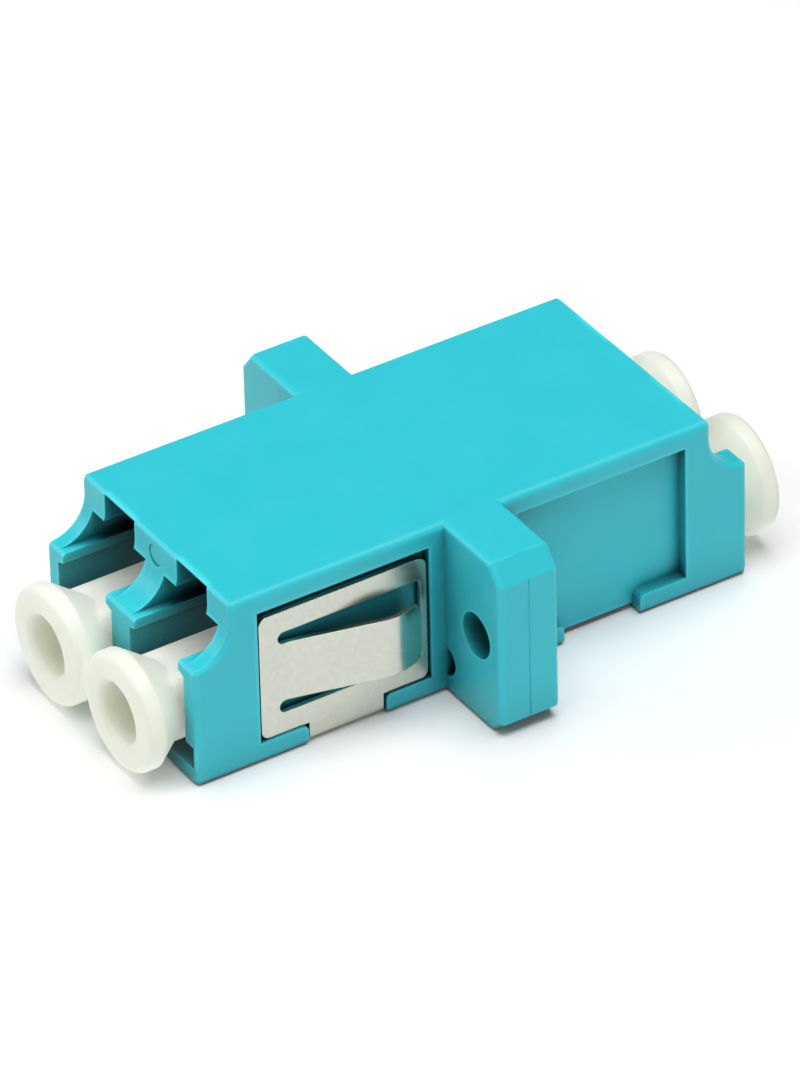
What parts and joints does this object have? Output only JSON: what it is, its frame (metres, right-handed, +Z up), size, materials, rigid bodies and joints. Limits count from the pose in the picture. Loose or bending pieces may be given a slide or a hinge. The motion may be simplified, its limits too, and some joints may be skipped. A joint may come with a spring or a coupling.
{
  "type": "fibre optic adapter",
  "caption": "Fibre optic adapter with side-by-side plug ports, a screw flange, a folded spring clip for panel mounting and pull-out dust caps with round heads.",
  "frame": {"origin": "bottom centre of the body, in the weld plane in the middle of the flange", "axes": "+Y along the fibres towards the rear half (the half without the clip), +X across the ports, +Z up through the latch side"},
  "size_m": [0.022, 0.0344, 0.0093],
  "materials": {
    "aqua_plastic": "satin moulded",
    "white_plastic": "soft satin",
    "spring_steel": "rolled sheet",
    "ceramic": "polished"
  },
  "bodies": {
    "adapter": {"front_housing": "aqua_plastic", "rear_housing": "aqua_plastic", "mounting_clip": "spring_steel", "split_sleeve_left": "ceramic", "split_sleeve_right": "ceramic"},
    "cap_front_left": {"dust_cap_front_left": "white_plastic"},
    "cap_front_right": {"dust_cap_front_right": "white_plastic"},
    "cap_rear_left": {"dust_cap_rear_left": "white_plastic"},
    "cap_rear_right": {"dust_cap_rear_right": "white_plastic"}
  },
  "joints": [
    {"name": "pull_front_left", "type": "slide", "parent": "adapter", "child": "cap_front_left", "axis": [0, -1, 0], "range_m": [0, 0.0135]},
    {"name": "pull_front_right", "type": "slide", "parent": "adapter", "child": "cap_front_right", "axis": [0, -1, 0], "range_m": [0, 0.0135]},
    {"name": "pull_rear_left", "type": "slide", "parent": "adapter", "child": "cap_rear_left", "axis": [0, 1, 0], "range_m": [0, 0.0135]},
    {"name": "pull_rear_right", "type": "slide", "parent": "adapter", "child": "cap_rear_right", "axis": [0, 1, 0], "range_m": [0, 0.0135]}
  ]
}
